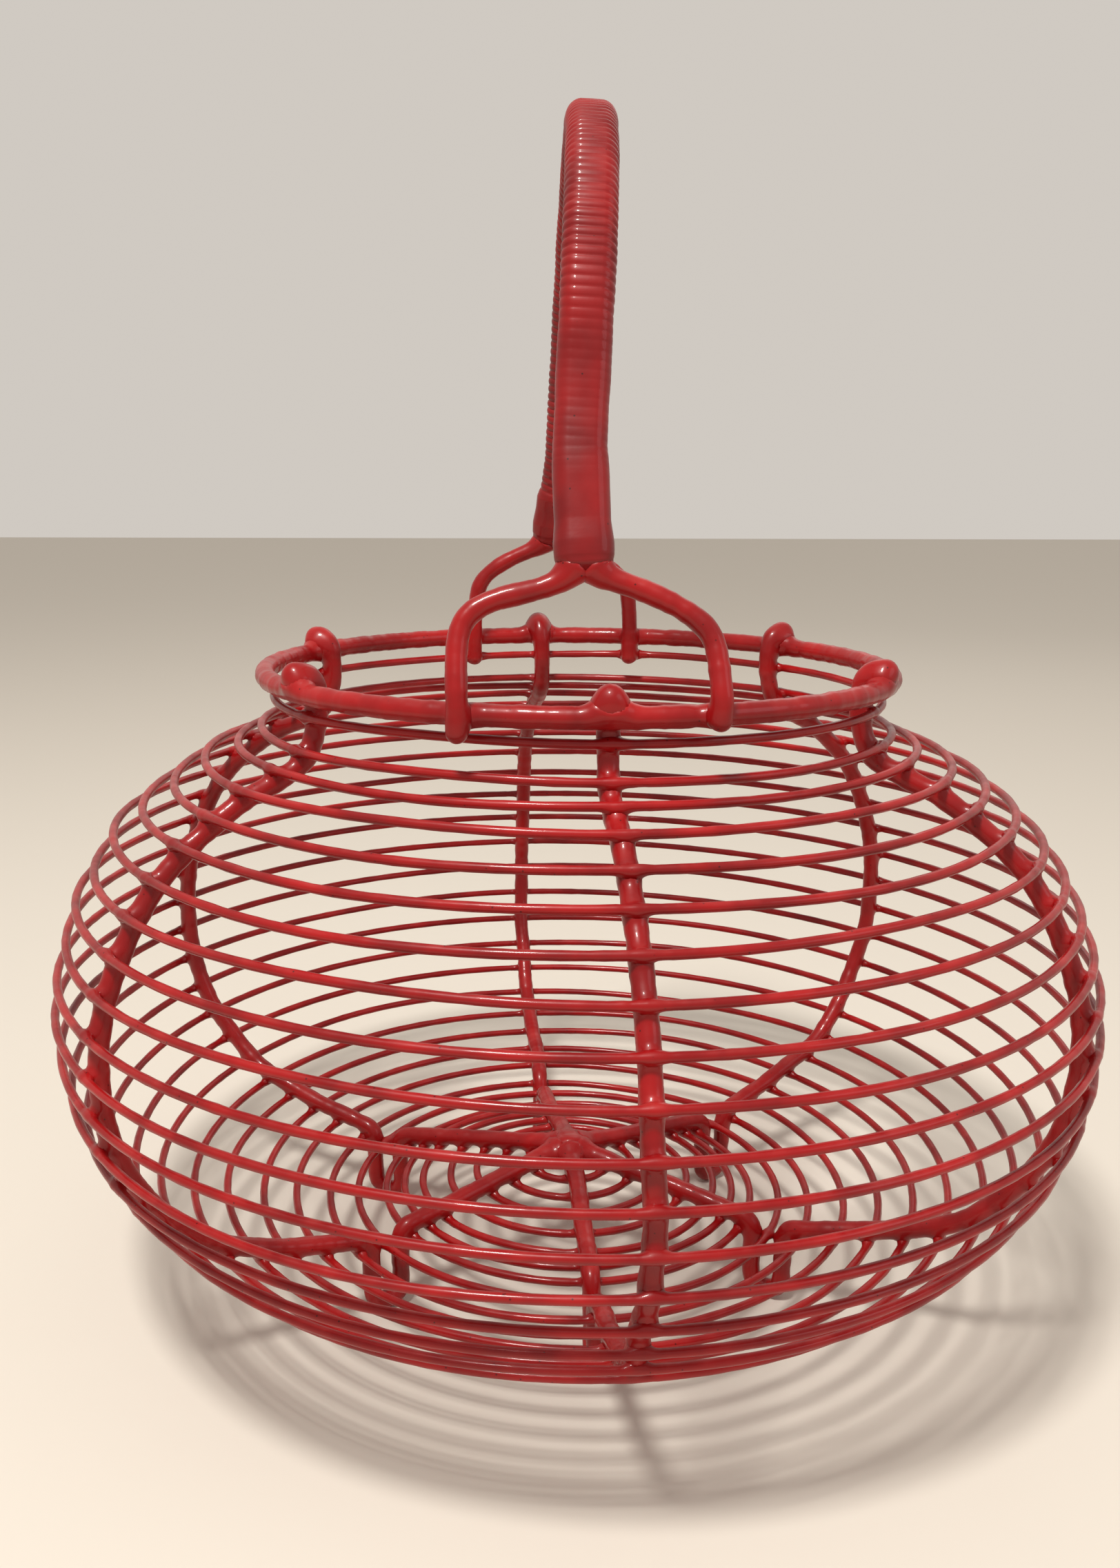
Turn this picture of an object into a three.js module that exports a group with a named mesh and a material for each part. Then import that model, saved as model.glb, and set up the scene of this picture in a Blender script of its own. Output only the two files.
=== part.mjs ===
// Egg-gathering basket: a squat, onion-shaped cage of steel wire under a thick red plastic coat.
// Six upright ribs carry a stack of thin rings; a fixed bail handle is welded over the mouth.
//
// Frame: millimetres, +Z up, origin on the floor under the middle of the basket.
// The handle stands in the YZ plane and the front of the basket is towards -Y.
import * as THREE from 'three';

// ---- driving dimensions ----
const GAP = 0.3; // clearance where two coated wires lie against each other
const RIM_RADIUS = 90; // mouth, to the middle of the rim wire
const RIM_HEIGHT = 190;
const RIM_WIRE = 2.8; // wire sizes are radii over the coat
const RIB_WIRE = 2.5;
const RING_WIRE = 1.1;
const BAIL_WIRE = 2.5;

const RIB_COUNT = 6;
const RIB_TURN = 2; // degrees: the cage is welded slightly turned from the handle
const RIB_STRAY = [1.4, -1, 5.4, 2.7, 1.4, 1.4]; // degrees: how far each rib strays from an even sixth
const RIB_NAMES = ['front', 'right_front', 'right_back', 'back', 'left_back', 'left_front'];

const FOOT_RADIUS = 68.3; // middle of each hairpin foot
const FOOT_HALF_WIDTH = 4.95; // from that middle to the middle of each leg
const FOOT_TOE_BEND = 3.5;
const FOOT_KNEE_BEND = 4.3;
const FOOT_FLAT = 2.4; // length of the level stretch a foot rests on
const UNDERSIDE_HEIGHT = 25.8; // rib height where a foot begins
const HUB_HEIGHT = 34.3; // the bottom is pushed up in the middle
const HUB_RADIUS = 5.4; // where the ribs stop short of each other
const BACK_RIB_REACH = 2; // the back rib alone runs this far past the middle

const BODY_RING_COUNT = 23; // the neck ring, then the body rings down to the feet
const CENTRE_RING_RADII = [12.7, 21.3, 29.9, 38.5, 47.1, 53.2];

const BAIL_HALF_PITCH = 2.65; // the two bail wires lie side by side inside the grip
const ARCH_RADIUS = 66;
const ARCH_CENTRE_HEIGHT = RIM_HEIGHT + 77.5;
const THROAT = { y: 79, height: RIM_HEIGHT + 35 }; // where the two wires part below the grip
const GRIP_OUTER = { halfWidth: 6.5, halfDepth: 4.3 };
const GRIP_INNER = { halfWidth: 5.65, halfDepth: 3.1 };
const THROAT_RUN = 3.2; // the wires already lie together this far below the grip
const HANDLE_SHIFT = -3.3; // the handle is welded a little left of the middle,
const HANDLE_LEAN = 0.042; // leans back to the right above the throat
const HANDLE_TWIST = 0.028; // and is turned slightly, its front to the left,
const TWIST_RISE = 25; // the turn coming on over this much height
const THROAT_SPLAY = 0.1; // sideways opening of the two wires below the grip, for each mm down

// One leg of a stirrup, from the rim up: [share of the leg's distance from the middle, height
// over the rim]. Each ends at the throat.
const SQUARE_SHOULDER = [[1, 5], [1, 14.5], [0.97, 20], [0.88, 23.6], [0.7, 26.2], [0.47, 27.8], [0.27, 29.4]];
const ROUND_SHOULDER = [[1, 5], [0.96, 15.9], [0.9, 19.8], [0.8, 22.6], [0.65, 25.3], [0.46, 27.8], [0.28, 29.6]];

// The legs, each by its distance from the middle of the handle and how far its end hangs below
// the middle of the rim. The front legs stand outside the rim, the back ones inside it.
const FRONT_LEFT_LEG = { spread: 29.7, drop: 6, shoulder: SQUARE_SHOULDER };
const FRONT_RIGHT_LEG = { spread: 31.5, drop: 3, shoulder: ROUND_SHOULDER };
const BACK_LEG = { spread: 27.1, drop: 9, shoulder: ROUND_SHOULDER };

const WIRE_SIDES = 8;
const RING_SIDES = 5;
const WIDE_RING_FACETS = 36;
const RIM_FACETS = 48;
const OVAL_CORNERS = 12;
const OVAL_POWER = 0.5; // 1 is an ellipse, less is squarer

// ---- materials ----
const coat = (roughness) =>
  new THREE.MeshStandardMaterial({ color: 0xb3191c, roughness, metalness: 0 });
const wireCoat = coat(0.28);
const gripCoat = coat(0.36);

// ---- tools ----

// A path given by its stations: close together round a bend, far apart on a straight.
class StationPath extends THREE.Curve {
  constructor(stations) {
    super();
    this.stations = stations;
  }

  getPointAt(u) {
    return this.stations[Math.round(u * (this.stations.length - 1))].clone();
  }

  getTangentAt(u) {
    const last = this.stations.length - 1;
    const i = Math.round(u * last);
    const ahead = this.stations[Math.min(i + 1, last)];
    const behind = this.stations[Math.max(i - 1, 0)];
    return ahead.clone().sub(behind).normalize();
  }
}

// A regular polygon whose flats lie at the given radius, one of them facing each axis.
function wireSection(radius, sides = WIRE_SIDES) {
  const corner = radius / Math.cos(Math.PI / sides);
  const points = [];
  for (let i = 0; i < sides; i += 1) {
    const angle = ((i + 0.5) * 2 * Math.PI) / sides;
    points.push(new THREE.Vector2(corner * Math.cos(angle), corner * Math.sin(angle)));
  }
  return new THREE.Shape(points);
}

function sweep(section, stations) {
  const extrudePath = new StationPath(stations);
  const steps = stations.length - 1;
  return new THREE.ExtrudeGeometry(section, { steps, extrudePath, bevelEnabled: false });
}

const at = (x, y, z) => new THREE.Vector3(x, y, z);
const radians = THREE.MathUtils.degToRad;

// Stations on an arc in the XZ plane. Angles are in degrees from +X towards +Z.
function arc(centreX, centreZ, radius, from, to, count) {
  const stations = [];
  for (let i = 0; i <= count; i += 1) {
    const angle = radians(from + ((to - from) * i) / count);
    stations.push(at(centreX + radius * Math.cos(angle), 0, centreZ + radius * Math.sin(angle)));
  }
  return stations;
}

function named(name, geometry, material) {
  const mesh = new THREE.Mesh(geometry, material);
  mesh.name = name;
  return mesh;
}

// ---- the side of the basket, as the middle line of one rib in the XZ plane ----
const outerLeg = FOOT_RADIUS + FOOT_HALF_WIDTH;
const innerLeg = FOOT_RADIUS - FOOT_HALF_WIDTH;
const neckRadius = RIM_RADIUS - RIM_WIRE - GAP - RIB_WIRE;
const neckHeight = RIM_HEIGHT - 8;

const sideLine = new THREE.CatmullRomCurve3(
  [
    at(neckRadius, 0, neckHeight),
    at(88.5, 0, 172), // the waist turns out into the shoulder
    at(108.4, 0, 162.2),
    at(131, 0, 144.5),
    at(146, 0, 117),
    at(149.6, 0, 94), // widest
    at(145, 0, 69),
    at(126, 0, 43),
    at(104, 0, 32.5), // turns in under the belly
    at(outerLeg + FOOT_KNEE_BEND, 0, UNDERSIDE_HEIGHT),
  ],
  false,
  'centripetal',
);

// A ring is a polygon of flats, so its radius grows by what each flat cuts in.
const flatCut = (radius, facets) => radius * (1 - Math.cos(Math.PI / facets));

function ring(name, radius, height, facets = WIDE_RING_FACETS) {
  const reach = radius + flatCut(radius, facets);
  const mesh = named(name, new THREE.TorusGeometry(reach, RING_WIRE, RING_SIDES, facets), wireCoat);
  mesh.position.z = height;
  return mesh;
}

// ---- rim ----
function buildRim() {
  const mesh = named('rim', new THREE.TorusGeometry(RIM_RADIUS, RIM_WIRE, WIRE_SIDES, RIM_FACETS), wireCoat);
  mesh.position.z = RIM_HEIGHT;
  return mesh;
}

// ---- neck ring and body rings, evenly spaced down the outside of the ribs ----
function buildBodyRings() {
  const group = new THREE.Group();
  const offset = RIB_WIRE + GAP + RING_WIRE;
  for (let i = 0; i < BODY_RING_COUNT; i += 1) {
    const u = i / (BODY_RING_COUNT - 1);
    const point = sideLine.getPointAt(u);
    const along = sideLine.getTangentAt(u);
    const outX = -along.z; // the tangent turned a quarter turn, away from the inside
    const outZ = along.x;
    const name = i === 0 ? 'neck_ring' : `body_ring_${String(i).padStart(2, '0')}`;
    if (i === BODY_RING_COUNT - 1) {
      // the last one nests in the knee of the feet
      group.add(ring(name, point.x, point.z - FOOT_KNEE_BEND));
    } else {
      group.add(ring(name, point.x + outX * offset, point.z + outZ * offset));
    }
  }
  return group;
}

// ---- rings under the raised centre ----
const innerKnee = innerLeg - FOOT_KNEE_BEND;
const centreSlope = (HUB_HEIGHT - UNDERSIDE_HEIGHT) / (innerKnee - HUB_RADIUS);

function buildBottomRings() {
  const group = new THREE.Group();
  const drop = (RIB_WIRE + GAP + RING_WIRE) / Math.cos(Math.atan(centreSlope));
  group.add(ring('foot_ring', FOOT_RADIUS, UNDERSIDE_HEIGHT - FOOT_KNEE_BEND));
  group.add(ring('bottom_ring_1', innerKnee, UNDERSIDE_HEIGHT - FOOT_KNEE_BEND));
  CENTRE_RING_RADII.forEach((radius, i) => {
    const height = HUB_HEIGHT - centreSlope * (radius - HUB_RADIUS) - drop;
    const facets = radius < 25 ? 18 : 24;
    group.add(ring(`bottom_ring_${CENTRE_RING_RADII.length + 1 - i}`, radius, height, facets));
  });
  return group;
}

// ---- ribs: hook over the rim, side, hairpin foot, bottom ----
function ribStations(innerEnd) {
  const hookRadius = RIM_WIRE + GAP + RIB_WIRE;
  const kneeZ = UNDERSIDE_HEIGHT - FOOT_KNEE_BEND;
  const toeZ = RIB_WIRE + FOOT_TOE_BEND;
  const hubZ = HUB_HEIGHT + centreSlope * (HUB_RADIUS - innerEnd);
  const side = [];
  for (let i = 0; i < BODY_RING_COUNT - 1; i += 1) {
    side.push(sideLine.getPointAt(i / (BODY_RING_COUNT - 1))); // one station under each ring
  }
  return [
    ...arc(RIM_RADIUS, RIM_HEIGHT, hookRadius, 80, 180, 4),
    ...side,
    ...arc(outerLeg + FOOT_KNEE_BEND, kneeZ, FOOT_KNEE_BEND, 90, 180, 3),
    ...arc(outerLeg - FOOT_TOE_BEND, toeZ, FOOT_TOE_BEND, 0, -90, 3),
    at(FOOT_RADIUS + FOOT_FLAT / 2, 0, RIB_WIRE),
    at(FOOT_RADIUS - FOOT_FLAT / 2, 0, RIB_WIRE),
    ...arc(innerLeg + FOOT_TOE_BEND, toeZ, FOOT_TOE_BEND, -90, -180, 3),
    ...arc(innerKnee, kneeZ, FOOT_KNEE_BEND, 0, 90, 3),
    at(innerEnd, 0, hubZ),
  ];
}

function buildRibs() {
  const group = new THREE.Group();
  for (let i = 0; i < RIB_COUNT; i += 1) {
    const innerEnd = RIB_NAMES[i] === 'back' ? -BACK_RIB_REACH : HUB_RADIUS;
    const mesh = named(
      `rib_${RIB_NAMES[i]}`,
      sweep(wireSection(RIB_WIRE), ribStations(innerEnd)),
      wireCoat,
    );
    mesh.rotation.z = radians(-90 + (i * 360) / RIB_COUNT + RIB_TURN + RIB_STRAY[i]);
    group.add(mesh);
  }
  return group;
}

// ---- handle ----

// How far the handle strays sideways at a place on it.
function handleDrift(y, height) {
  const rise = Math.max(height - THROAT.height, 0);
  const turned = Math.min(rise / TWIST_RISE, 1);
  return HANDLE_SHIFT + HANDLE_LEAN * rise + HANDLE_TWIST * y * turned;
}

// Middle line of the arch, offset sideways, from the front throat over the top to the back one.
function archStations(offset = 0) {
  const line = [[-THROAT.y, THROAT.height]];
  const straightSteps = 3;
  const arcSteps = 20;
  for (let i = 1; i < straightSteps; i += 1) {
    const share = i / straightSteps;
    line.push([
      -THREE.MathUtils.lerp(THROAT.y, ARCH_RADIUS, share),
      THREE.MathUtils.lerp(THROAT.height, ARCH_CENTRE_HEIGHT, share),
    ]);
  }
  for (let i = 0; i <= arcSteps / 2; i += 1) {
    const angle = (Math.PI * i) / arcSteps;
    const height = ARCH_CENTRE_HEIGHT + ARCH_RADIUS * Math.sin(angle);
    line.push([-ARCH_RADIUS * Math.cos(angle), height]);
  }
  const back = line.slice(0, -1).reverse().map(([y, height]) => [-y, height]);
  return [...line, ...back].map(([y, height]) => at(offset + handleDrift(y, height), y, height));
}

// One leg of the stirrup below the grip, from its foot on the rim up to the throat.
// side is -1 (left) or 1 (right); end is -1 (front) or 1 (back).
function stirrupStations(side, end, footRadius, { spread, drop, shoulder }) {
  const footX = HANDLE_SHIFT + side * spread;
  const footY = Math.sqrt(footRadius ** 2 - footX ** 2);
  const points = [at(footX, end * footY, RIM_HEIGHT - drop)];
  const straightTop = shoulder[0][1];
  for (const [share, rise] of shoulder) {
    const climb = (rise - straightTop) / (THROAT.height - RIM_HEIGHT - straightTop);
    const y = THREE.MathUtils.lerp(footY, THROAT.y, climb);
    points.push(at(HANDLE_SHIFT + side * spread * share, end * y, RIM_HEIGHT + rise));
  }
  const slope = (THROAT.y - ARCH_RADIUS) / (ARCH_CENTRE_HEIGHT - THROAT.height);
  for (const below of [THROAT_RUN, 0]) {
    const x = HANDLE_SHIFT + side * (BAIL_HALF_PITCH + THROAT_SPLAY * below);
    points.push(at(x, end * (THROAT.y + slope * below), THROAT.height - below));
  }
  return new THREE.CatmullRomCurve3(points, false, 'centripetal').getPoints(20);
}

function buildBailWire(side) {
  const clearance = RIM_WIRE + GAP + BAIL_WIRE + flatCut(RIM_RADIUS, RIM_FACETS);
  const left = side < 0;
  const frontLeg = left ? FRONT_LEFT_LEG : FRONT_RIGHT_LEG;
  const front = stirrupStations(side, -1, RIM_RADIUS + clearance, frontLeg);
  const back = stirrupStations(side, 1, RIM_RADIUS - clearance, BACK_LEG);
  const arch = archStations(side * BAIL_HALF_PITCH);
  const stations = [...front, ...arch.slice(1, -1), ...back.reverse()];
  const name = left ? 'bail_wire_left' : 'bail_wire_right';
  return named(name, sweep(wireSection(BAIL_WIRE), stations), wireCoat);
}

// An oval outline with flattened faces; halfWidth lies across the handle.
function ovalPoints({ halfWidth, halfDepth }) {
  const flattened = (value) => Math.sign(value) * Math.abs(value) ** OVAL_POWER;
  const points = [];
  for (let i = 0; i < OVAL_CORNERS; i += 1) {
    const angle = ((i + 0.5) * 2 * Math.PI) / OVAL_CORNERS;
    const x = halfWidth * flattened(Math.cos(angle));
    const y = halfDepth * flattened(Math.sin(angle));
    points.push(new THREE.Vector2(x, y));
  }
  return points;
}

// The close wire winding that binds the two bail wires, as one open-ended sleeve.
function buildGrip() {
  const section = new THREE.Shape(ovalPoints(GRIP_OUTER));
  section.holes.push(new THREE.Path(ovalPoints(GRIP_INNER)));
  return named('grip_winding', sweep(section, archStations()), gripCoat);
}

// ---- the basket ----
const basket = new THREE.Group();
basket.add(buildRim());
basket.add(buildBodyRings());
basket.add(buildBottomRings());
basket.add(buildRibs());
basket.add(buildBailWire(-1));
basket.add(buildBailWire(1));
basket.add(buildGrip());

export default basket;
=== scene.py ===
# Egg basket: every CAD wire is replaced by the same wire under a thick, dipped plastic coat.
# All lengths are in metres; MM turns a size in millimetres into metres.
from math import atan2, cos, pi, radians, sin

import bpy
import numpy as np
from mathutils import Matrix, Vector
from mathutils.kdtree import KDTree


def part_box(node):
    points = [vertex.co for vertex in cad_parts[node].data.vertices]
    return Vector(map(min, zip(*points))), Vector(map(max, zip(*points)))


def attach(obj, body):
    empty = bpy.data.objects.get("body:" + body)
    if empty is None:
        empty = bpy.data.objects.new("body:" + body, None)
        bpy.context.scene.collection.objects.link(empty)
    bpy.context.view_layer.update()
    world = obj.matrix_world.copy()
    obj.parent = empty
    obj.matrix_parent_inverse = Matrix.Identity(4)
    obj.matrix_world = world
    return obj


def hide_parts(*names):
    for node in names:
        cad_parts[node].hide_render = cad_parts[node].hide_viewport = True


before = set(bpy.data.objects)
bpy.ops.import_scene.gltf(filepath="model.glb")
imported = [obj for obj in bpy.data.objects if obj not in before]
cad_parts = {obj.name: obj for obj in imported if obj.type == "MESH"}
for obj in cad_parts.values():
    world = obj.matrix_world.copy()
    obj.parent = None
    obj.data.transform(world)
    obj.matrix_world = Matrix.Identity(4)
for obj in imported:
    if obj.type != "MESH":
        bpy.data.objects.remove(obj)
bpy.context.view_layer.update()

MM = 0.001
chance = np.random.default_rng(7)

# ---------------------------------------------------------------- sizes

rim_low, rim_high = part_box("rim")
RIM_WIRE = (rim_high.z - rim_low.z) / 2
RIM_RADIUS = rim_high.x - RIM_WIRE
RIM_HEIGHT = (rim_high.z + rim_low.z) / 2
RIB_WIRE = 2.5 * MM
RING_WIRE = 1.1 * MM
BAIL_WIRE = 2.6 * MM
RIB_COAT = 2.72 * MM  # the coat lies thicker than the wires' CAD sizes, from which they are placed
RING_COAT = 1.2 * MM
CAD_GAP = 0.3 * MM  # between a rib and the rings that lie on it

RIB_NAMES = ["front", "right_front", "right_back", "back", "left_back", "left_front"]
WIDE_RINGS = ["neck_ring"] + [f"body_ring_{i:02d}" for i in range(1, 22)]
KNEE_RING = "body_ring_22"
BOTTOM_RINGS = [f"bottom_ring_{i}" for i in range(1, 8)]
WIDE_RING_FACETS = 36  # of the CAD's polygons
SMALL_RING_FACETS = 24

RING_WELD = 2.6 * MM  # how far from a crossing the coat starts to pool into a fillet
THICK_WELD = 4.5 * MM
GRIP_WELD = 6.0 * MM
BURIED = 0.6 * MM  # a stretch of coat that lies this deep inside another wire stays as it is
MOST_PUSH = 0.3  # of the weld's width: the thickest that a fillet gets
COAT_UNEVEN = ((0.035, 14 * MM), (0.02, 5 * MM))  # (share of the radius, length) of the coat's slow waves

# where a ring crosses a rib, the coat thickens: (share of the radius, how far along the wire)
RING_KNUCKLE = (0.14, 2.4 * MM)
RIB_KNUCKLE = (0.1, 3.2 * MM)
HUB_LUMP = (0.35, 12 * MM)


def ring_size(node):
    """(radius, height) of a ring's middle line. The CAD ring is a polygon, a little wide at its corners."""
    low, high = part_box(node)
    corner = (high.x - low.x) / 2 - RING_WIRE
    facets = SMALL_RING_FACETS if node in BOTTOM_RINGS[1:] else WIDE_RING_FACETS
    return corner / (2 - cos(pi / facets)), (high.z + low.z) / 2


# ---------------------------------------------------------------- lines

def spaced(points, step):
    """The same line with its stations a near-even step apart."""
    lengths = np.linalg.norm(np.diff(points, axis=0), axis=1)
    run = np.concatenate([[0], np.cumsum(lengths)])
    count = max(int(round(run[-1] / step)), 2)
    stops = np.linspace(0, run[-1], count + 1)
    return np.stack([np.interp(stops, run, points[:, k]) for k in range(points.shape[1])], 1)


def smoothed(points, rounds):
    """An open line with its small kinks eased, its ends kept."""
    line = points.copy()
    for _ in range(rounds):
        line[1:-1] = (line[:-2] + 2 * line[1:-1] + line[2:]) / 4
    return line


def through(points, per_span=10):
    """A smooth (Catmull-Rom) line through the points."""
    p = np.array(points, float)
    p = np.vstack([2 * p[0] - p[1], p, 2 * p[-1] - p[-2]])
    t = (np.arange(per_span) / per_span)[:, None]
    spans = []
    for a, b, c, d in zip(p[:-3], p[1:-2], p[2:-1], p[3:]):
        spans.append(0.5 * (2 * b + (c - a) * t + (2 * a - 5 * b + 4 * c - d) * t**2
                            + (3 * b - a - 3 * c + d) * t**3))
    return np.vstack(spans + [p[-2:-1]])


def arc(centre, radius, start, end, count=12):
    """Points on an arc in a plane, angles in degrees."""
    angles = np.radians(np.linspace(start, end, count))
    return np.stack([centre[0] + radius * np.cos(angles), centre[1] + radius * np.sin(angles)], 1)


def waves(run, length, seed):
    """A gentle random curve between about -1 and 1 whose ups and downs are about this length."""
    pick = np.random.default_rng(seed)
    total = np.zeros_like(run)
    for share in (1.0, 0.62, 0.37):
        turns = 2 * pi / (length * share * pick.uniform(0.8, 1.25))
        total += share**0.7 * np.sin(run * turns + pick.uniform(0, 2 * pi))
    usual_peak = 1.6
    return total / usual_peak


# ---------------------------------------------------------------- coated wires

class Wire:
    """One wire: a line of stations and, at each, the radius over the coat."""

    def __init__(self, node, points, radius, closed=False, sides=20):
        self.node = node
        self.points = np.asarray(points, float)
        self.closed = closed
        self.sides = sides
        after = np.roll(self.points, -1, axis=0) if closed else self.points[1:]
        before = self.points if closed else self.points[:-1]
        lengths = np.linalg.norm(after - before, axis=1)
        self.run = np.concatenate([[0], np.cumsum(lengths)])[: len(self.points)]
        seed = sum(ord(letter) * (k + 1) for k, letter in enumerate(node))
        (slow, long), (quick, short) = COAT_UNEVEN
        uneven = slow * waves(self.run, long, seed) + quick * waves(self.run, short, seed + 1)
        self.radii = radius * (1 + uneven)
        self.half_width = 0.0  # half the flat of an oval wire, along X
        self.search = None

    def swell(self, place, amount, spread):
        """Thickens the coat round a point by a share of the radius."""
        away = np.linalg.norm(self.points - place, axis=1)
        self.radii *= 1 + amount * np.exp(-(away / spread) ** 2)

    def tree(self):
        """A search tree of the stations, made once the line is final."""
        if self.search is None:
            self.search = KDTree(len(self.points))
            for k, point in enumerate(self.points):
                self.search.insert(point, k)
            self.search.balance()
        return self.search

    def near(self, places, reach):
        """(which of the places lie about within reach of the coat, the station nearest to each)."""
        station_step = 1 * MM
        slack = reach + self.radii.max() + self.half_width
        low, high = self.points.min(0) - slack, self.points.max(0) + slack
        boxed = np.flatnonzero(np.all((places > low) & (places < high), axis=1))
        tree = self.tree()
        kept, stations = [], []
        for index in boxed:
            _, station, away = tree.find(places[index])
            if away < slack + station_step:
                kept.append(index)
                stations.append(station)
        return np.array(kept, int), np.array(stations, int)

    def distance(self, places, stations):
        """Distance from each place to the coat's surface, negative inside; stations: the nearest to each."""
        p = places.copy()
        if self.half_width:
            sideways = p[:, 0] - self.points[stations, 0]
            p[:, 0] -= np.clip(sideways, -self.half_width, self.half_width)
        best = np.full(len(places), np.inf)
        count = len(self.points)
        for step in (-2, -1, 0, 1):
            first, second = stations + step, stations + step + 1
            if self.closed:
                first, second = first % count, second % count
            else:
                first, second = np.clip(first, 0, count - 1), np.clip(second, 0, count - 1)
            start, along = self.points[first], self.points[second] - self.points[first]
            gap = p - start
            length2 = np.maximum((along**2).sum(1), 1e-18)
            share = np.clip((gap * along).sum(1) / length2, 0, 1)
            best = np.minimum(best, np.linalg.norm(gap - share[:, None] * along, axis=1))
        return best - self.radii[stations]


def frames_along(points, closed):
    """Two directions across the line at each station, carried along it without twist."""
    if closed:
        tangents = np.roll(points, -1, axis=0) - np.roll(points, 1, axis=0)
    else:
        tangents = np.gradient(points, axis=0)
    tangents /= np.linalg.norm(tangents, axis=1)[:, None]
    first = np.array([1.0, 0, 0])
    if abs(tangents[0] @ first) > 0.9:
        first = np.array([0, 0, 1.0])
    across = np.empty_like(points)
    for i, tangent in enumerate(tangents):
        first = first - tangent * (tangent @ first)
        first /= np.linalg.norm(first)
        across[i] = first
    return across, np.cross(tangents, across), tangents


CAP_RISE = [15, 30, 45, 60, 74, 84]  # degrees: the extra stations that round off an open end


def skin(wire):
    """Vertices, outward directions and faces of the wire's coat, rounded off at open ends."""
    points, radii = wire.points, wire.radii
    across, beyond, tangents = frames_along(points, wire.closed)
    if not wire.closed:
        rise = np.radians(CAP_RISE)[:, None]
        first = points[0] - tangents[0] * radii[0] * np.sin(rise[::-1])
        last = points[-1] + tangents[-1] * radii[-1] * np.sin(rise)
        points = np.vstack([first, points, last])
        ease = np.cos(rise[:, 0])
        radii = np.concatenate([radii[0] * ease[::-1], radii, radii[-1] * ease])
        row = np.clip(np.arange(len(points)) - len(rise), 0, len(across) - 1)
        across, beyond = across[row], beyond[row]
    angles = np.arange(wire.sides) * 2 * pi / wire.sides
    out = across[:, None] * np.cos(angles)[None, :, None] + beyond[:, None] * np.sin(angles)[None, :, None]
    verts = points[:, None] + out * radii[:, None, None]
    if wire.half_width:
        verts += np.sign(np.round(np.cos(angles), 6))[None, :, None] * across[:, None] * wire.half_width
    stations, sides = len(points), wire.sides
    rows = np.arange(stations if wire.closed else stations - 1)
    i, j = np.meshgrid(rows, np.arange(sides), indexing="ij")
    a = i * sides + j
    b = i * sides + (j + 1) % sides
    c = (i + 1) % stations * sides + (j + 1) % sides
    d = (i + 1) % stations * sides + j
    faces = np.stack([a, b, c, d], -1).reshape(-1, 4).tolist()
    if not wire.closed:
        faces.append(list(range(sides))[::-1])
        faces.append([(stations - 1) * sides + k for k in range(sides)])
    return verts.reshape(-1, 3), out.reshape(-1, 3), faces


def merge(a, b, width):
    """Distance to two coats run together with a fillet of this width."""
    mix = np.maximum(width - np.abs(a - b), 0) / width
    return np.minimum(a, b) - mix * mix * width / 4


def pooled(verts, out, neighbours, share=1.0):
    """Moves the coat outward where it runs together with its neighbours' coat."""
    push = np.zeros(len(verts))
    for other, width in neighbours:
        near, stations = other.near(verts, width)
        if not len(near):
            continue
        start = other.distance(verts[near], stations)
        touching = (start < width) & (start > -BURIED)
        near, stations, start = near[touching], stations[touching], start[touching]
        grown = np.zeros(len(near))
        for _ in range(5):  # step outward until the vertex lies on the fillet
            gap = other.distance(verts[near] + out[near] * grown[:, None], stations)
            grown = np.clip(grown - 0.9 * merge(grown, gap, width), 0, width * MOST_PUSH)
        grown *= np.clip(1 + start / BURIED, 0, 1)
        push[near] = np.maximum(push[near], grown) + 0.35 * np.minimum(push[near], grown)
    return verts + out * (push * share)[:, None]


def build(wire, neighbours, material, shape=None):
    """Makes the coated wire as a piece that stands in for the CAD node of the same name."""
    verts, out, faces = skin(wire)
    if shape:
        verts = shape(verts, out, wire, neighbours)
    else:
        verts = pooled(verts, out, neighbours)
    mesh = bpy.data.meshes.new("coated_" + wire.node)
    mesh.from_pydata(verts.tolist(), [], faces)
    mesh.polygons.foreach_set("use_smooth", [True] * len(mesh.polygons))
    mesh.materials.append(material)
    mesh.update()
    piece = bpy.data.objects.new("coated_" + wire.node, mesh)
    bpy.context.scene.collection.objects.link(piece)
    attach(piece, "root")
    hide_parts(wire.node)
    return piece


# ---------------------------------------------------------------- ribs

def rib_azimuth(node):
    """The direction in which a rib stands, from its CAD vertices."""
    total = Vector()
    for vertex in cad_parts[node].data.vertices:
        total += vertex.co
    return atan2(total.y, total.x)


def side_profile():
    """The rib's middle line (radius, height) from the neck to the last body ring: just inside the rings."""
    beside = np.array([ring_size(node) for node in WIDE_RINGS])
    along = np.gradient(beside, axis=0)
    along /= np.linalg.norm(along, axis=1)[:, None]
    outward = np.stack([-along[:, 1], along[:, 0]], 1)
    return beside - outward * (RIB_WIRE + RING_WIRE + CAD_GAP)


foot_radius, knee_ring_height = ring_size("foot_ring")
KNEE_BEND = 4.3 * MM
TOE_BEND = 3.9 * MM
HOOK_RISE = 4.3 * MM  # over the middle of the rim wire
LEG_HALF_GAP = ring_size(KNEE_RING)[0] - KNEE_BEND - foot_radius
HUB_RADIUS = 5.4 * MM
BACK_RIB_REACH = 2 * MM  # the back rib alone runs past the middle
RIB_SWAY = 0.5 * MM
KNOB_LENGTH = 6 * MM
KNOB_SWELL = 0.36
RIB_LEAN = 2.8 * MM  # the front rib leans to the left from the belly up to the rim


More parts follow.
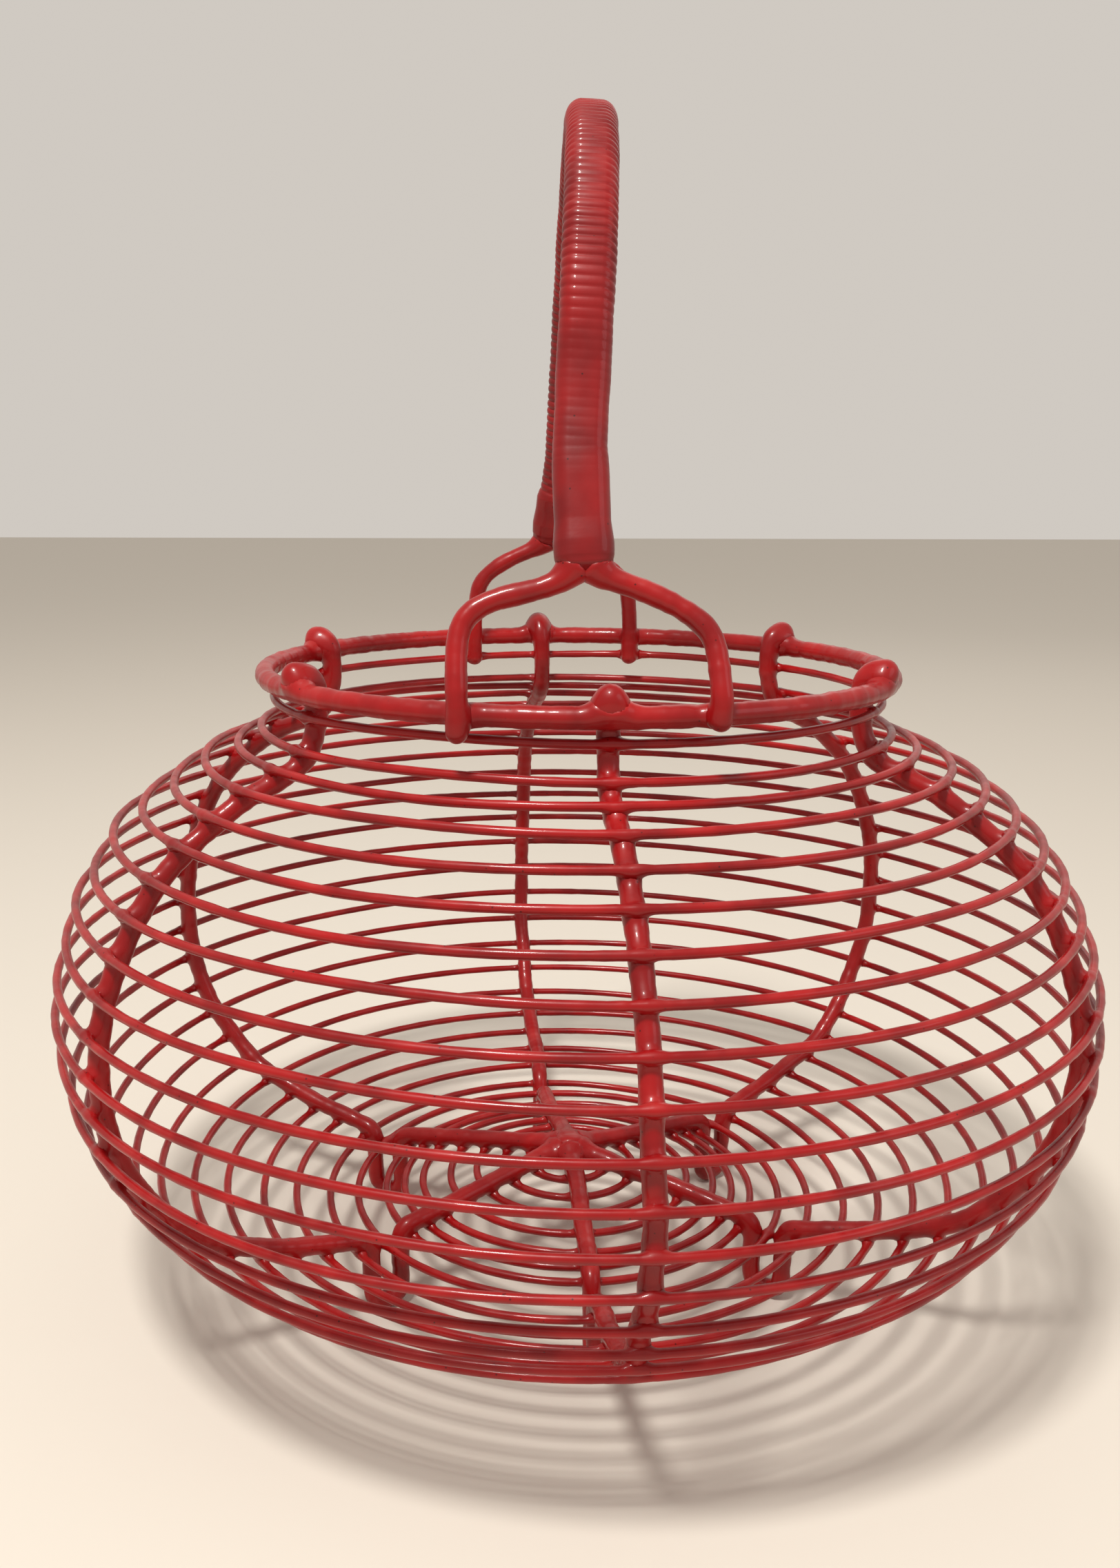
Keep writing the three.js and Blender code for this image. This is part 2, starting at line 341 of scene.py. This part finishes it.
def rib_profile(inner_end):
    """The whole middle line of a rib: knob over the rim, side, hairpin foot, run to the middle."""
    side = side_profile()
    neck = side[0]
    hook = arc((0, 0), 1, 88, 180) * (RIM_RADIUS - neck[0], HOOK_RISE) + (RIM_RADIUS, RIM_HEIGHT)
    outer, inner = foot_radius + LEG_HALF_GAP, foot_radius - LEG_HALF_GAP
    inner_ring, outer_ring = (np.array(ring_size(BOTTOM_RINGS[k])) for k in (6, 1))
    slope = (inner_ring[1] - outer_ring[1]) / (inner_ring[0] - outer_ring[0])
    underside = knee_ring_height + KNEE_BEND
    toe_height = 1.06 * RIB_COAT + TOE_BEND  # the bumps of the coat just clear the floor
    hub_height = underside + slope * (inner_end - (inner - KNEE_BEND))
    line = np.vstack([
        hook,
        through(side),
        arc((outer + KNEE_BEND, knee_ring_height), KNEE_BEND, 90, 180),
        arc((outer - TOE_BEND, toe_height), TOE_BEND, 0, -90),
        arc((inner + TOE_BEND, toe_height), TOE_BEND, -90, -180),
        arc((inner - KNEE_BEND, knee_ring_height), KNEE_BEND, 0, 90),
        [(inner_end, hub_height)],
    ])
    return smoothed(spaced(line, 0.75 * MM), 6)


def rib_wire(name):
    """One upright rib, standing in the direction of its CAD node."""
    node = "rib_" + name
    azimuth = rib_azimuth(node)
    profile = rib_profile(-BACK_RIB_REACH if name == "back" else HUB_RADIUS)
    aside = RIB_SWAY * waves(profile[:, 1] + profile[:, 0], 90 * MM, len(name))
    if name == "front":
        aside -= RIB_LEAN * np.clip(2 * profile[:, 1] / RIM_HEIGHT - 1, 0, 1)
    outward = np.array([cos(azimuth), sin(azimuth), 0])
    across = np.array([-sin(azimuth), cos(azimuth), 0])
    points = profile[:, :1] * outward + aside[:, None] * across
    points[:, 2] += profile[:, 1]
    wire = Wire(node, points, RIB_COAT, sides=20)
    wire.azimuth = azimuth
    # the end that is bent over the rim is a round knob of coat
    knob = np.clip(1.3 - wire.run / KNOB_LENGTH, 0, 1)
    wire.radii *= 1 + KNOB_SWELL * knob
    return wire


# ---------------------------------------------------------------- rings

RING_SWAY = 0.7 * MM
FULL_SWAY_RADIUS = 100 * MM  # smaller rings are stiffer
RIM_STATIONS = 700


def ring_wire(node, ribs):
    """A ring, its stations close together at the ribs, with a slight handmade sway between them."""
    radius, height = ring_size(node)
    crossings = np.sort([rib.azimuth % (2 * pi) for rib in ribs])
    fine, coarse, close = 0.45 * MM / radius, 3 * MM / radius, 6.5 * MM / radius
    angles = []
    bays = list(zip(crossings, np.append(crossings[1:], crossings[0] + 2 * pi)))
    sway_out, sway_up = [], []
    for start, end in bays:
        edge = min(close, (end - start) * 0.35)
        inner_count = max(int((end - start - 2 * edge) / coarse), 3)
        edge_count = max(int(edge / fine), 4)
        stops = np.concatenate([
            np.linspace(start, start + edge, edge_count, endpoint=False),
            np.linspace(start + edge, end - edge, inner_count, endpoint=False),
            np.linspace(end - edge, end, edge_count, endpoint=False),
        ])
        bulge = np.sin(pi * (stops - start) / (end - start)) ** 2  # nothing at the ribs, most between them
        sway = RING_SWAY * min(radius / FULL_SWAY_RADIUS, 1)
        sway_out.append(bulge * chance.uniform(-1, 1) * sway)
        sway_up.append(bulge * chance.uniform(-1, 1) * sway)
        angles.append(stops)
    angles = np.concatenate(angles)
    reach = radius + np.concatenate(sway_out)
    points = np.stack([reach * np.cos(angles), reach * np.sin(angles), height + np.concatenate(sway_up)], 1)
    return Wire(node, points, RING_COAT, closed=True, sides=12)


def rim_wire():
    """The thick ring round the mouth."""
    turns = np.linspace(0, 2 * pi, RIM_STATIONS, endpoint=False)
    level = np.full(RIM_STATIONS, RIM_HEIGHT)
    points = np.stack([RIM_RADIUS * np.cos(turns), RIM_RADIUS * np.sin(turns), level], 1)
    return Wire("rim", points, RIM_WIRE, closed=True, sides=24)


# ---------------------------------------------------------------- handle

BAIL_HALF_PITCH = 2.6 * MM
ARCH_RADIUS = 66 * MM
ARCH_CENTRE_HEIGHT = RIM_HEIGHT + 77.5 * MM
THROAT_Y = 79 * MM
THROAT_HEIGHT = RIM_HEIGHT + 35 * MM
GRIP_HALF_DEPTH = 4.1 * MM
GRIP_HALF_FLAT = 2.3 * MM
GRIP_TAPER = 4 * MM  # length over which each end draws in on the bail wires
POOL_LENGTH = 9 * MM  # how far in from each end the coat pools on the bail wires
WINDING_PITCH = 2.25 * MM
HANDLE_SHIFT = -3.3 * MM
HANDLE_LEAN = 0.042
HANDLE_TWIST = 0.028
TWIST_RISE = 25 * MM  # the twist comes on over this much height
THROAT_RUN = 3.2 * MM  # the wires already lie together this far below the grip
THROAT_SPLAY = 0.1  # how far they open sideways there, for each unit down
THROAT_SLOPE = 0.3  # and how far they move out along Y

# one stirrup leg: (share of its distance from the middle, millimetres over the rim), from its foot upwards
SQUARE_SHOULDER = [(1, 5), (1, 14.5), (0.97, 20), (0.88, 23.6), (0.7, 26.2), (0.47, 27.8), (0.27, 29.4)]
ROUND_SHOULDER = [(1, 5), (0.96, 15.9), (0.9, 19.8), (0.8, 22.6), (0.65, 25.4), (0.46, 28), (0.28, 30)]

# (distance from the middle of the handle, how far its end hangs below the rim's middle, its shoulder)
FRONT_LEFT_LEG = (29.7 * MM, 3.5 * MM, SQUARE_SHOULDER)
FRONT_RIGHT_LEG = (31.5 * MM, 0.5 * MM, ROUND_SHOULDER)
BACK_LEG = (27.1 * MM, 6.5 * MM, ROUND_SHOULDER)

# the winding is filled with coat for this far at each end, and then clears over a shorter stretch
FRONT_COLLAR, FRONT_COLLAR_EDGE = 26 * MM, 7 * MM
BACK_COLLAR, BACK_COLLAR_EDGE = 16 * MM, 3 * MM
GROOVE_DEPTH = 0.62 * MM
GROOVE_START, GROOVE_RISE = 45 * MM, 30 * MM  # it is nearly filled up to here, and clear this much later


def drift(y, height):
    """How far the handle strays sideways: off the middle, leaning back above the throat, and twisted."""
    rise = np.maximum(height - THROAT_HEIGHT, 0)
    turned = np.minimum(rise / TWIST_RISE, 1)
    return HANDLE_SHIFT + HANDLE_LEAN * rise + HANDLE_TWIST * y * turned


def arch_line():
    """Middle line of the grip, from the front throat over the top to the back one."""
    angles = np.linspace(0, pi, 90)
    over = np.stack([-ARCH_RADIUS * np.cos(angles), ARCH_CENTRE_HEIGHT + ARCH_RADIUS * np.sin(angles)], 1)
    line = np.vstack([[(-THROAT_Y, THROAT_HEIGHT)], over, [(THROAT_Y, THROAT_HEIGHT)]])
    line = smoothed(spaced(line, 0.32 * MM), 500)
    return np.column_stack([drift(line[:, 0], line[:, 1]), line])


def stirrup_leg(side, end, from_axis, leg):
    """From the foot of one leg up to the throat. side: -1 left, 1 right. end: -1 front, 1 back."""
    spread, drop, shoulder = leg
    foot_x = HANDLE_SHIFT + side * spread
    foot_y = (from_axis**2 - foot_x**2) ** 0.5
    points = [(foot_x, end * foot_y, RIM_HEIGHT - drop)]
    straight_top = shoulder[0][1] * MM
    for share, rise in shoulder:
        climb = (rise * MM - straight_top) / (THROAT_HEIGHT - RIM_HEIGHT - straight_top)
        y = foot_y + (THROAT_Y - foot_y) * climb
        points.append((HANDLE_SHIFT + side * spread * share, end * y, RIM_HEIGHT + rise * MM))
    for below in (THROAT_RUN, 0):
        x = HANDLE_SHIFT + side * (BAIL_HALF_PITCH + THROAT_SPLAY * below)
        points.append((x, end * (THROAT_Y + THROAT_SLOPE * below), THROAT_HEIGHT - below))
    return through(points, 14)


def bail_wire(side):
    """One of the two wires of the handle: front leg, through the grip, back leg."""
    beside_rim = RIM_WIRE + BAIL_WIRE
    left = side < 0
    node = "bail_wire_left" if left else "bail_wire_right"
    front = stirrup_leg(side, -1, RIM_RADIUS + beside_rim, FRONT_LEFT_LEG if left else FRONT_RIGHT_LEG)
    back = stirrup_leg(side, 1, RIM_RADIUS - beside_rim, BACK_LEG)
    arch = arch_line()[6:-6:6] + (side * BAIL_HALF_PITCH, 0, 0)
    line = np.vstack([front, arch, back[::-1]])
    return Wire(node, smoothed(spaced(line, 0.8 * MM), 10), BAIL_WIRE, sides=20)


def grip_wire():
    """The winding as an oval tube, smooth and fuller at both ends where the coat has filled it."""
    wire = Wire("grip_winding", arch_line(), GRIP_HALF_DEPTH, sides=44)
    wire.half_width = GRIP_HALF_FLAT
    length = wire.run[-1]
    front_collar = np.clip((FRONT_COLLAR - wire.run) / FRONT_COLLAR_EDGE, 0, 1)
    back_collar = np.clip((BACK_COLLAR - (length - wire.run)) / BACK_COLLAR_EDGE, 0, 1)
    uneven = 0.02 * waves(wire.run, 30 * MM, 11)
    wire.radii = GRIP_HALF_DEPTH * (1 + uneven + 0.07 * front_collar + 0.22 * back_collar)
    from_end = np.minimum(wire.run, length - wire.run)
    wire.radii *= 0.7 + 0.3 * np.sqrt(np.clip(from_end / GRIP_TAPER, 0, 1))
    # the coat has nearly filled the winding on the front rise, and lies thin over the top and back
    clear = np.clip((wire.run - GROOVE_START) / GROOVE_RISE, 0.15, 1)
    clear *= 1 - np.maximum(front_collar, back_collar)
    wire.groove = (GROOVE_DEPTH + 0.14 * MM * waves(wire.run, 40 * MM, 5)) * clear
    return wire


def wound(verts, out, wire, neighbours):
    """Grip: coat pools on the bail wires at its two ends only, and the winding stands in ridges along it."""
    cap, sides = len(CAP_RISE), wire.sides
    length = wire.run[-1]
    from_end = np.minimum(wire.run, length - wire.run)
    ends = np.clip(1 - from_end / POOL_LENGTH, 0, 1)
    share = np.concatenate([np.ones(cap), ends, np.ones(cap)]).repeat(sides)
    verts = pooled(verts, out, neighbours, share)
    angles = np.arange(sides) * 2 * pi / sides
    within = (wire.run[:, None] / WINDING_PITCH + angles[None] / (2 * pi)) % 1.0
    # a round back between two sharp grooves, about level with the oval on average
    ridge = np.sqrt(1 - (2 * within - 1) ** 2 * 0.96) - 0.8
    lift = np.concatenate([np.zeros((cap, sides)), ridge * wire.groove[:, None], np.zeros((cap, sides))])
    return verts + out * lift.reshape(-1, 1)


# ---------------------------------------------------------------- materials

def coat_material(name, deep, bright, roughness, wave_height):
    """Dipped plastic: glossy, uneven in thickness and colour, with dark specks and a lighter top that is
    partly dusty bloom and partly painted sheen.
    """
    material = bpy.data.materials.new(name)
    material.use_nodes = True
    nodes, links = material.node_tree.nodes, material.node_tree.links
    nodes.clear()

    def add(kind, **inputs):
        node = nodes.new(kind)
        for key, value in inputs.items():
            node.inputs[key.replace("_", " ")].default_value = value
        return node

    def noise(size, detail=2.0, rough=0.5):
        node = add("ShaderNodeTexNoise", Scale=1 / size, Detail=detail, Roughness=rough)
        links.new(place.outputs["Object"], node.inputs["Vector"])
        return node.outputs["Fac"]

    def remap(value, low, high, to_low, to_high):
        node = add("ShaderNodeMapRange")
        for socket, number in zip(("From Min", "From Max", "To Min", "To Max"), (low, high, to_low, to_high)):
            node.inputs[socket].default_value = number
        links.new(value, node.inputs["Value"])
        return node.outputs["Result"]

    def blend(factor, a, b):
        node = nodes.new("ShaderNodeMix")
        node.data_type = "RGBA"
        links.new(factor, node.inputs["Factor"])
        for socket, colour in ((node.inputs[6], a), (node.inputs[7], b)):
            if isinstance(colour, tuple):
                socket.default_value = (*colour, 1)
            else:
                links.new(colour, socket)
        return node.outputs[2]

    def times(a, b):
        node = nodes.new("ShaderNodeMath")
        node.operation = "MULTIPLY"
        links.new(a, node.inputs[0])
        links.new(b, node.inputs[1])
        return node.outputs[0]

    place = nodes.new("ShaderNodeTexCoord")
    surface = nodes.new("ShaderNodeNewGeometry")
    facing = nodes.new("ShaderNodeSeparateXYZ")
    links.new(surface.outputs["Normal"], facing.inputs[0])

    # colour: thick and thin coat, dark specks, then what faces up is lightened: partly a chalky bloom, partly
    # a painted sheen of light from above
    cloud = remap(noise(18 * MM, 3), 0.35, 0.65, 0, 1)
    colour = blend(cloud, deep, bright)
    speck = add("ShaderNodeTexVoronoi", Scale=1 / (3.2 * MM), Randomness=1.0)
    links.new(place.outputs["Object"], speck.inputs["Vector"])
    speck_spot = remap(speck.outputs["Distance"], 0.05, 0.09, 1, 0)
    colour = blend(speck_spot, colour, tuple(channel * 0.35 for channel in deep))
    # painted sheen with chalky bloom: upward faces are mixed towards pale pink, where light from above falls
    upward = remap(facing.outputs["Z"], 0.35, 1.0, 0, 1)
    chalk_and_sheen_patch = remap(noise(9 * MM, 4, 0.6), 0.45, 0.75, 0.0, 0.08)
    colour = blend(times(upward, chalk_and_sheen_patch), colour, (0.62, 0.27, 0.24))

    # relief: slow runs in the coat and a fine orange peel
    runs = add("ShaderNodeBump", Strength=0.7, Distance=wave_height)
    links.new(noise(4.5 * MM, 1.5), runs.inputs["Height"])
    peel = add("ShaderNodeBump", Strength=0.5, Distance=0.03 * MM)
    links.new(noise(0.9 * MM, 2.0), peel.inputs["Height"])
    links.new(runs.outputs["Normal"], peel.inputs["Normal"])

    shader = add("ShaderNodeBsdfPrincipled", IOR=1.45, Coat_Weight=0.25, Coat_Roughness=0.09,
                 Specular_IOR_Level=0.3)
    links.new(colour, shader.inputs["Base Color"])
    worn = remap(noise(6 * MM, 3), 0.3, 0.7, roughness - 0.07, roughness + 0.1)
    links.new(worn, shader.inputs["Roughness"])
    links.new(peel.outputs["Normal"], shader.inputs["Normal"])
    links.new(runs.outputs["Normal"], shader.inputs["Coat Normal"])
    output = nodes.new("ShaderNodeOutputMaterial")
    links.new(shader.outputs["BSDF"], output.inputs["Surface"])
    return material


wire_coat = coat_material("red_dipped_wire", (0.20, 0.001, 0.002), (0.34, 0.003, 0.004), 0.36, 0.06 * MM)
grip_coat = coat_material("red_dipped_grip", (0.15, 0.001, 0.002), (0.26, 0.003, 0.004), 0.44, 0.04 * MM)


# ---------------------------------------------------------------- the basket

ribs = [rib_wire(name) for name in RIB_NAMES]
rings = [ring_wire(node, ribs) for node in WIDE_RINGS + [KNEE_RING, "foot_ring"] + BOTTOM_RINGS]
rim = rim_wire()
bails = [bail_wire(-1), bail_wire(1)]
grip = grip_wire()

for rib in ribs:
    for ring in rings:
        heading = ring.points[:, :2] @ (cos(rib.azimuth), sin(rib.azimuth))
        crossing = ring.points[(heading / np.linalg.norm(ring.points[:, :2], axis=1)).argmax()]
        ring.swell(crossing, *RING_KNUCKLE)
        rib.swell(crossing, *RIB_KNUCKLE)
    rib.swell((0, 0, rib.points[-1, 2]), *HUB_LUMP)  # where the ribs meet

for ring in rings:
    joined = [(rib, RING_WELD) for rib in ribs]
    if ring.node == "neck_ring":
        joined += [(bail, THICK_WELD) for bail in bails]
    build(ring, joined, wire_coat)

for rib in ribs:
    joined = [(rim, THICK_WELD)] + [(other, THICK_WELD) for other in ribs if other is not rib]
    joined += [(ring, RING_WELD) for ring in rings]
    build(rib, joined, wire_coat)

build(rim, [(wire, THICK_WELD) for wire in ribs + bails], wire_coat)

for bail, partner in zip(bails, bails[::-1]):
    joined = [(rim, THICK_WELD), (rings[0], THICK_WELD), (partner, THICK_WELD), (grip, GRIP_WELD)]
    build(bail, joined, wire_coat)

build(grip, [(bail, GRIP_WELD) for bail in bails], grip_coat, wound)


# ---------------------------------------------------------------- floor, light and camera

def floor():
    reach = 6.0
    corners = [(-reach, -reach, 0), (reach, -reach, 0), (reach, reach, 0), (-reach, reach, 0)]
    mesh = bpy.data.meshes.new("floor")
    mesh.from_pydata(corners, [], [(0, 1, 2, 3)])
    material = bpy.data.materials.new("pale_floor")
    material.use_nodes = True
    shader = material.node_tree.nodes["Principled BSDF"]
    shader.inputs["Base Color"].default_value = (0.66, 0.61, 0.54, 1)
    shader.inputs["Roughness"].default_value = 0.75
    mesh.materials.append(material)
    piece = bpy.data.objects.new("floor", mesh)
    bpy.context.scene.collection.objects.link(piece)


def area_light(name, place, target, size, power, colour):
    light = bpy.data.lights.new(name, "AREA")
    light.shape = "DISK"
    light.size = size
    light.energy = power
    light.color = colour
    piece = bpy.data.objects.new(name, light)
    piece.location = place
    piece.rotation_mode = "QUATERNION"
    piece.rotation_quaternion = (Vector(target) - Vector(place)).to_track_quat("-Z", "Y")
    bpy.context.scene.collection.objects.link(piece)


def studio():
    world = bpy.data.worlds.new("studio")
    world.use_nodes = True
    sky = world.node_tree.nodes["Background"]
    sky.inputs["Color"].default_value = (0.90, 0.84, 0.77, 1)
    sky.inputs["Strength"].default_value = 0.70
    bpy.context.scene.world = world
    bpy.context.scene.view_settings.view_transform = "Standard"
    middle = (0, 0, 0.15)
    area_light("key", (-0.32, -0.62, 1.5), middle, 0.28, 24, (1.0, 0.97, 0.92))
    area_light("fill", (1.3, -0.7, 0.9), middle, 0.9, 2.5, (0.95, 0.97, 1.0))
    area_light("back", (0.5, 1.4, 1.1), middle, 0.8, 1.2, (1.0, 0.98, 0.95))


def camera():
    """The camera of the photograph: near, a little above the basket, its window shifted up and right."""
    place = Vector((-25.5, -404.6, 242.2)) * MM
    heading, dip, roll = radians(1.03), radians(16.4), 0.0027
    forward = Vector((sin(heading) * cos(dip), cos(heading) * cos(dip), -sin(dip)))
    right = forward.cross(Vector((0, 0, 1))).normalized()
    above = right.cross(forward)
    turned = Matrix((right, above, -forward)).transposed() @ Matrix.Rotation(roll, 3, "Z")
    data = bpy.data.cameras.new("camera")
    data.sensor_fit = "VERTICAL"
    data.sensor_height = 24
    data.lens = 20.97
    data.shift_x = 0.030
    data.shift_y = 0.065
    piece = bpy.data.objects.new("camera", data)
    piece.matrix_world = Matrix.Translation(place) @ turned.to_4x4()
    data.clip_start = 0.01
    bpy.context.scene.collection.objects.link(piece)
    bpy.context.scene.camera = piece


floor()
studio()
camera()
